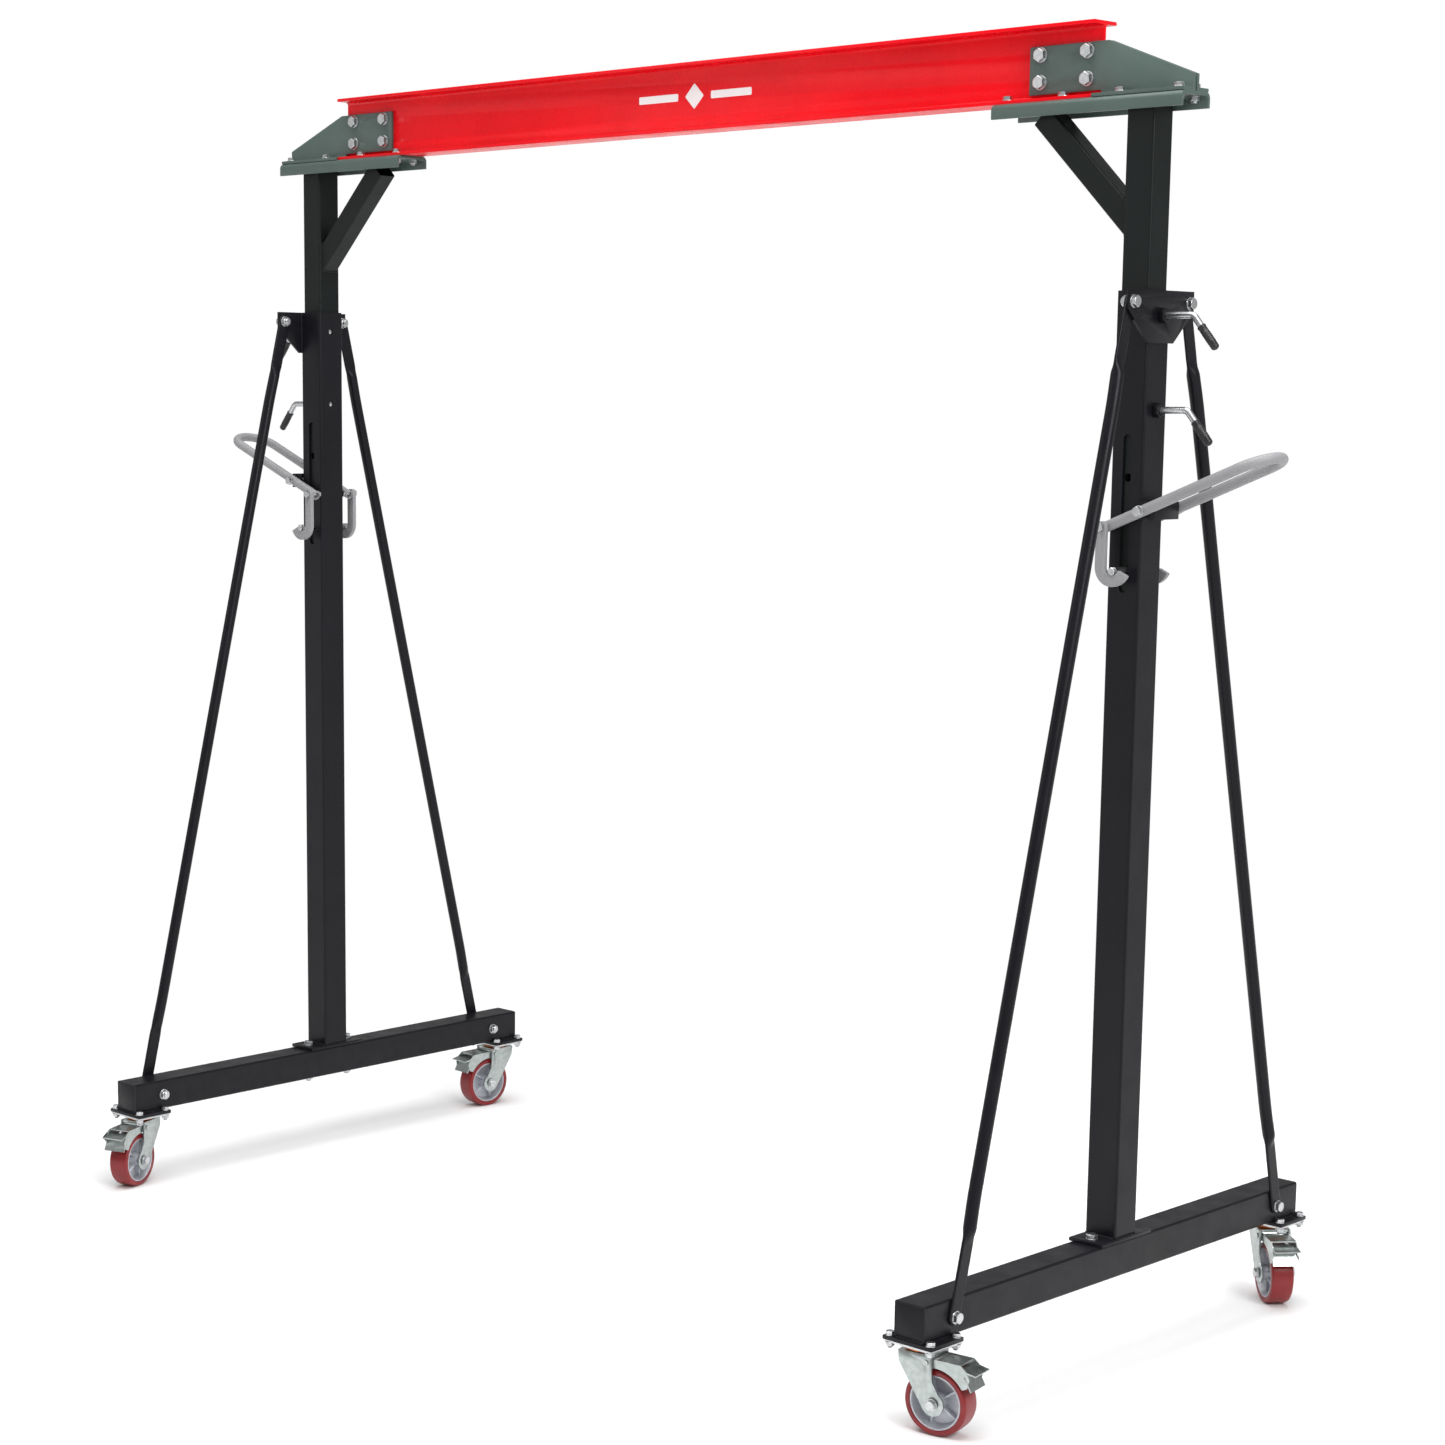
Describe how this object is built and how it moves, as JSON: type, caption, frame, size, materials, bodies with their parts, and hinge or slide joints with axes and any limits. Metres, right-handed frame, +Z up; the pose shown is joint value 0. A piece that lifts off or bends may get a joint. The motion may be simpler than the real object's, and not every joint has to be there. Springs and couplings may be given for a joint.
{
  "type": "portable gantry crane",
  "caption": "Portable gantry crane: an I-beam on two telescoping A-frame legs with locking pins, hand levers and braked swivel casters.",
  "frame": {"origin": "on the floor, midway between the two legs", "axes": "+X along the I-beam towards the right leg, +Y along the base beams towards the rear, +Z up"},
  "size_m": [3.1998, 1.4235, 2.729],
  "materials": {
    "beam_red": "gloss enamel",
    "head_green": "satin powder coat, grey green",
    "frame_black": "satin powder coat, black",
    "zinc": "bright zinc plate",
    "fork_zinc": "pressed steel, zinc plate",
    "race_copper": "copper coloured dust ring",
    "lever_grey": "silver grey paint",
    "rim_grey": "cast, silver painted",
    "tyre_red": "dark red polyurethane"
  },
  "bodies": {
    "legs": {"outer_column_left": "frame_black", "outer_column_right": "frame_black", "column_foot_left": "frame_black", "column_foot_right": "frame_black", "base_beam_left": "frame_black", "base_beam_right": "frame_black", "end_caps": "frame_black", "ear_plate_left": "frame_black", "ear_plate_right": "frame_black", "stay_left_front": "frame_black", "stay_left_rear": "frame_black", "stay_right_front": "frame_black", "stay_right_rear": "frame_black", "lever_bracket_left": "frame_black", "lever_bracket_right": "frame_black", "lever_pivots": "zinc", "pin_bosses": "frame_black", "foot_bolts": "zinc", "stay_bolts": "zinc", "caster_pads": "frame_black", "caster_plates": "zinc", "caster_races": "race_copper", "caster_bolts": "zinc"},
    "upper_frame": {"i_beam": "beam_red", "gusset_left": "head_green", "gusset_right": "head_green", "top_channel_left": "head_green", "top_channel_right": "head_green", "head_bolts": "zinc", "diagonal_brace_left": "frame_black", "diagonal_brace_right": "frame_black", "inner_column_left": "frame_black", "inner_column_right": "frame_black"},
    "lock_pin_right_high": {"lock_pin_right_high": "zinc"},
    "lock_pin_right_low": {"lock_pin_right_low": "zinc"},
    "lift_pin_right": {"lift_pin_right": "zinc"},
    "lever_right": {"lever_right": "lever_grey"},
    "lift_hooks_right": {"lift_hooks_right": "lever_grey"},
    "lock_pin_left_high": {"lock_pin_left_high": "zinc"},
    "lock_pin_left_low": {"lock_pin_left_low": "zinc"},
    "lift_pin_left": {"lift_pin_left": "zinc"},
    "lever_left": {"lever_left": "lever_grey"},
    "lift_hooks_left": {"lift_hooks_left": "lever_grey"},
    "swivel_right_front": {"fork_right_front": "fork_zinc"},
    "wheel_right_front": {"tyre_right_front": "tyre_red", "rim_right_front": "rim_grey"},
    "brake_right_front": {"pedal_right_front": "fork_zinc"},
    "swivel_right_rear": {"fork_right_rear": "fork_zinc"},
    "wheel_right_rear": {"tyre_right_rear": "tyre_red", "rim_right_rear": "rim_grey"},
    "brake_right_rear": {"pedal_right_rear": "fork_zinc"},
    "swivel_left_front": {"fork_left_front": "fork_zinc"},
    "wheel_left_front": {"tyre_left_front": "tyre_red", "rim_left_front": "rim_grey"},
    "brake_left_front": {"pedal_left_front": "fork_zinc"},
    "swivel_left_rear": {"fork_left_rear": "fork_zinc"},
    "wheel_left_rear": {"tyre_left_rear": "tyre_red", "rim_left_rear": "rim_grey"},
    "brake_left_rear": {"pedal_left_rear": "fork_zinc"}
  },
  "joints": [
    {"name": "mast_lift", "type": "slide", "parent": "legs", "child": "upper_frame", "axis": [0, 0, 1], "range_m": [0, 1.11]},
    {"name": "pull_lock_pin_right_high", "type": "slide", "parent": "legs", "child": "lock_pin_right_high", "axis": [1, 0, 0], "range_m": [0, 0.1]},
    {"name": "pull_lock_pin_right_low", "type": "slide", "parent": "legs", "child": "lock_pin_right_low", "axis": [1, 0, 0], "range_m": [0, 0.1]},
    {"name": "pull_lift_pin_right", "type": "slide", "parent": "legs", "child": "lift_pin_right", "axis": [0, -1, 0], "range_m": [0, 0.165]},
    {"name": "lever_right_pivot", "type": "hinge", "parent": "legs", "child": "lever_right", "pos_m": [1.32, 0, 1.7695], "axis": [0, -1, 0], "range_deg": [0, 25]},
    {"name": "lift_hooks_right_pivot", "type": "hinge", "parent": "lever_right", "child": "lift_hooks_right", "pos_m": [1.23748, 0, 1.73616], "axis": [0, -1, 0], "range_deg": [-40, 0]},
    {"name": "pull_lock_pin_left_high", "type": "slide", "parent": "legs", "child": "lock_pin_left_high", "axis": [-1, 0, 0], "range_m": [0, 0.1]},
    {"name": "pull_lock_pin_left_low", "type": "slide", "parent": "legs", "child": "lock_pin_left_low", "axis": [-1, 0, 0], "range_m": [0, 0.1]},
    {"name": "pull_lift_pin_left", "type": "slide", "parent": "legs", "child": "lift_pin_left", "axis": [0, -1, 0], "range_m": [0, 0.165]},
    {"name": "lever_left_pivot", "type": "hinge", "parent": "legs", "child": "lever_left", "pos_m": [-1.32, 0, 1.7695], "axis": [0, 1, 0], "range_deg": [0, 25]},
    {"name": "lift_hooks_left_pivot", "type": "hinge", "parent": "lever_left", "child": "lift_hooks_left", "pos_m": [-1.23748, 0, 1.73616], "axis": [0, 1, 0], "range_deg": [-40, 0]},
    {"name": "swivel_right_front_turn", "type": "hinge", "parent": "legs", "child": "swivel_right_front", "pos_m": [1.268, -0.62, 0.165], "axis": [0, 0, 1], "continuous": true},
    {"name": "wheel_right_front_spin", "type": "hinge", "parent": "swivel_right_front", "child": "wheel_right_front", "pos_m": [1.30936, -0.61271, 0.0675], "axis": [-0.1736, 0.9848, 0], "continuous": true},
    {"name": "brake_right_front_press", "type": "hinge", "parent": "swivel_right_front", "child": "brake_right_front", "pos_m": [1.2936, -0.61548, 0.1487], "axis": [-0.1736, 0.9848, 0], "range_deg": [0, 8]},
    {"name": "swivel_right_rear_turn", "type": "hinge", "parent": "legs", "child": "swivel_right_rear", "pos_m": [1.268, 0.62, 0.165], "axis": [0, 0, 1], "continuous": true},
    {"name": "wheel_right_rear_spin", "type": "hinge", "parent": "swivel_right_rear", "child": "wheel_right_rear", "pos_m": [1.30017, 0.593, 0.0675], "axis": [0.6428, 0.766, 0], "continuous": true},
    {"name": "brake_right_rear_press", "type": "hinge", "parent": "swivel_right_rear", "child": "brake_right_rear", "pos_m": [1.28792, 0.60329, 0.1487], "axis": [0.6428, 0.766, 0], "range_deg": [0, 8]},
    {"name": "swivel_left_front_turn", "type": "hinge", "parent": "legs", "child": "swivel_left_front", "pos_m": [-1.268, -0.62, 0.165], "axis": [0, 0, 1], "continuous": true},
    {"name": "wheel_left_front_spin", "type": "hinge", "parent": "swivel_left_front", "child": "wheel_left_front", "pos_m": [-1.25364, -0.65947, 0.0675], "axis": [0.9397, 0.342, 0], "continuous": true},
    {"name": "brake_left_front_press", "type": "hinge", "parent": "swivel_left_front", "child": "brake_left_front", "pos_m": [-1.25911, -0.64443, 0.1487], "axis": [0.9397, 0.342, 0], "range_deg": [0, 8]},
    {"name": "swivel_left_rear_turn", "type": "hinge", "parent": "legs", "child": "swivel_left_rear", "pos_m": [-1.268, 0.62, 0.165], "axis": [0, 0, 1], "continuous": true},
    {"name": "wheel_left_rear_spin", "type": "hinge", "parent": "swivel_left_rear", "child": "wheel_left_rear", "pos_m": [-1.27166, 0.57816, 0.0675], "axis": [0.9962, -0.0872, 0], "continuous": true},
    {"name": "brake_left_rear_press", "type": "hinge", "parent": "swivel_left_rear", "child": "brake_left_rear", "pos_m": [-1.27027, 0.5941, 0.1487], "axis": [0.9962, -0.0872, 0], "range_deg": [0, 8]}
  ],
  "couplings": [
    {"joint": "lift_hooks_right_pivot", "follows": "lever_right_pivot", "ratio": -1.6},
    {"joint": "lift_hooks_left_pivot", "follows": "lever_left_pivot", "ratio": -1.6}
  ]
}
